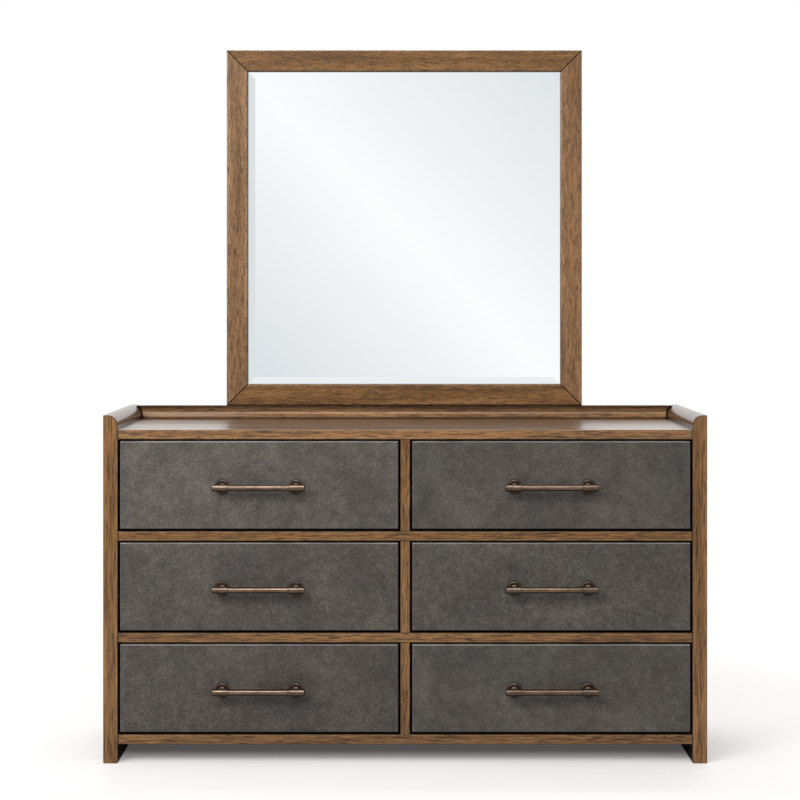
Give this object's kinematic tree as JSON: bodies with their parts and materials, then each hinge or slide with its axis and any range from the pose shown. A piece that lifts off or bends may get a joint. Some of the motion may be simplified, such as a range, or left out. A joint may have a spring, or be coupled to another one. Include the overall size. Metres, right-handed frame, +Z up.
{
  "type": "dresser with mirror",
  "caption": "Wide wooden dresser with leather-faced drawers on telescopic slides, bar handles, side panels that run to the floor, and a square bevelled mirror standing on its back rail",
  "frame": {"origin": "middle of the overall box, on the floor", "axes": "+X is the viewer's right, the drawers open towards -Y, +Z is up"},
  "size_m": [1.575, 0.4952, 1.923],
  "materials": {
    "oak": "satin",
    "box_wood": "satin",
    "thin_board": "matte",
    "leather": "matte",
    "bronze": "satin",
    "slide_steel": "satin",
    "mirror": "gloss"
  },
  "bodies": {
    "case": {"left_side_panel": "oak", "right_side_panel": "oak", "top_panel": "oak", "bottom_panel": "oak", "upper_front_rail": "oak", "lower_front_rail": "oak", "centre_partition": "oak", "gallery_rail": "oak", "back_panel": "thin_board", "slide_cabinet_members": "slide_steel", "mirror_top_bar": "oak", "mirror_bottom_bar": "oak", "mirror_left_bar": "oak", "mirror_right_bar": "oak", "mirror_glass": "mirror", "mirror_backing_board": "thin_board", "mirror_retaining_strips": "box_wood", "left_mirror_support": "box_wood", "right_mirror_support": "box_wood", "mirror_support_screws": "slide_steel"},
    "drawer_lower_left": {"drawer_lower_left_front": "leather", "drawer_lower_left_box": "box_wood", "drawer_lower_left_bottom": "thin_board", "drawer_lower_left_handle": "bronze", "drawer_lower_left_slide_inner": "slide_steel"},
    "drawer_lower_left_runner": {"drawer_lower_left_slide_middle": "slide_steel"},
    "drawer_lower_right": {"drawer_lower_right_front": "leather", "drawer_lower_right_box": "box_wood", "drawer_lower_right_bottom": "thin_board", "drawer_lower_right_handle": "bronze", "drawer_lower_right_slide_inner": "slide_steel"},
    "drawer_lower_right_runner": {"drawer_lower_right_slide_middle": "slide_steel"},
    "drawer_middle_left": {"drawer_middle_left_front": "leather", "drawer_middle_left_box": "box_wood", "drawer_middle_left_bottom": "thin_board", "drawer_middle_left_handle": "bronze", "drawer_middle_left_slide_inner": "slide_steel"},
    "drawer_middle_left_runner": {"drawer_middle_left_slide_middle": "slide_steel"},
    "drawer_middle_right": {"drawer_middle_right_front": "leather", "drawer_middle_right_box": "box_wood", "drawer_middle_right_bottom": "thin_board", "drawer_middle_right_handle": "bronze", "drawer_middle_right_slide_inner": "slide_steel"},
    "drawer_middle_right_runner": {"drawer_middle_right_slide_middle": "slide_steel"},
    "drawer_upper_left": {"drawer_upper_left_front": "leather", "drawer_upper_left_box": "box_wood", "drawer_upper_left_bottom": "thin_board", "drawer_upper_left_handle": "bronze", "drawer_upper_left_slide_inner": "slide_steel"},
    "drawer_upper_left_runner": {"drawer_upper_left_slide_middle": "slide_steel"},
    "drawer_upper_right": {"drawer_upper_right_front": "leather", "drawer_upper_right_box": "box_wood", "drawer_upper_right_bottom": "thin_board", "drawer_upper_right_handle": "bronze", "drawer_upper_right_slide_inner": "slide_steel"},
    "drawer_upper_right_runner": {"drawer_upper_right_slide_middle": "slide_steel"}
  },
  "joints": [
    {"name": "drawer_lower_left_slide", "type": "slide", "parent": "case", "child": "drawer_lower_left", "axis": [0, -1, 0], "range_m": [0, 0.38]},
    {"name": "drawer_lower_left_runner_slide", "type": "slide", "parent": "case", "child": "drawer_lower_left_runner", "axis": [0, -1, 0], "range_m": [0, 0.19]},
    {"name": "drawer_lower_right_slide", "type": "slide", "parent": "case", "child": "drawer_lower_right", "axis": [0, -1, 0], "range_m": [0, 0.38]},
    {"name": "drawer_lower_right_runner_slide", "type": "slide", "parent": "case", "child": "drawer_lower_right_runner", "axis": [0, -1, 0], "range_m": [0, 0.19]},
    {"name": "drawer_middle_left_slide", "type": "slide", "parent": "case", "child": "drawer_middle_left", "axis": [0, -1, 0], "range_m": [0, 0.38]},
    {"name": "drawer_middle_left_runner_slide", "type": "slide", "parent": "case", "child": "drawer_middle_left_runner", "axis": [0, -1, 0], "range_m": [0, 0.19]},
    {"name": "drawer_middle_right_slide", "type": "slide", "parent": "case", "child": "drawer_middle_right", "axis": [0, -1, 0], "range_m": [0, 0.38]},
    {"name": "drawer_middle_right_runner_slide", "type": "slide", "parent": "case", "child": "drawer_middle_right_runner", "axis": [0, -1, 0], "range_m": [0, 0.19]},
    {"name": "drawer_upper_left_slide", "type": "slide", "parent": "case", "child": "drawer_upper_left", "axis": [0, -1, 0], "range_m": [0, 0.38]},
    {"name": "drawer_upper_left_runner_slide", "type": "slide", "parent": "case", "child": "drawer_upper_left_runner", "axis": [0, -1, 0], "range_m": [0, 0.19]},
    {"name": "drawer_upper_right_slide", "type": "slide", "parent": "case", "child": "drawer_upper_right", "axis": [0, -1, 0], "range_m": [0, 0.38]},
    {"name": "drawer_upper_right_runner_slide", "type": "slide", "parent": "case", "child": "drawer_upper_right_runner", "axis": [0, -1, 0], "range_m": [0, 0.19]}
  ],
  "couplings": [
    {"joint": "drawer_lower_left_runner_slide", "follows": "drawer_lower_left_slide", "ratio": 0.5},
    {"joint": "drawer_lower_right_runner_slide", "follows": "drawer_lower_right_slide", "ratio": 0.5},
    {"joint": "drawer_middle_left_runner_slide", "follows": "drawer_middle_left_slide", "ratio": 0.5},
    {"joint": "drawer_middle_right_runner_slide", "follows": "drawer_middle_right_slide", "ratio": 0.5},
    {"joint": "drawer_upper_left_runner_slide", "follows": "drawer_upper_left_slide", "ratio": 0.5},
    {"joint": "drawer_upper_right_runner_slide", "follows": "drawer_upper_right_slide", "ratio": 0.5}
  ]
}
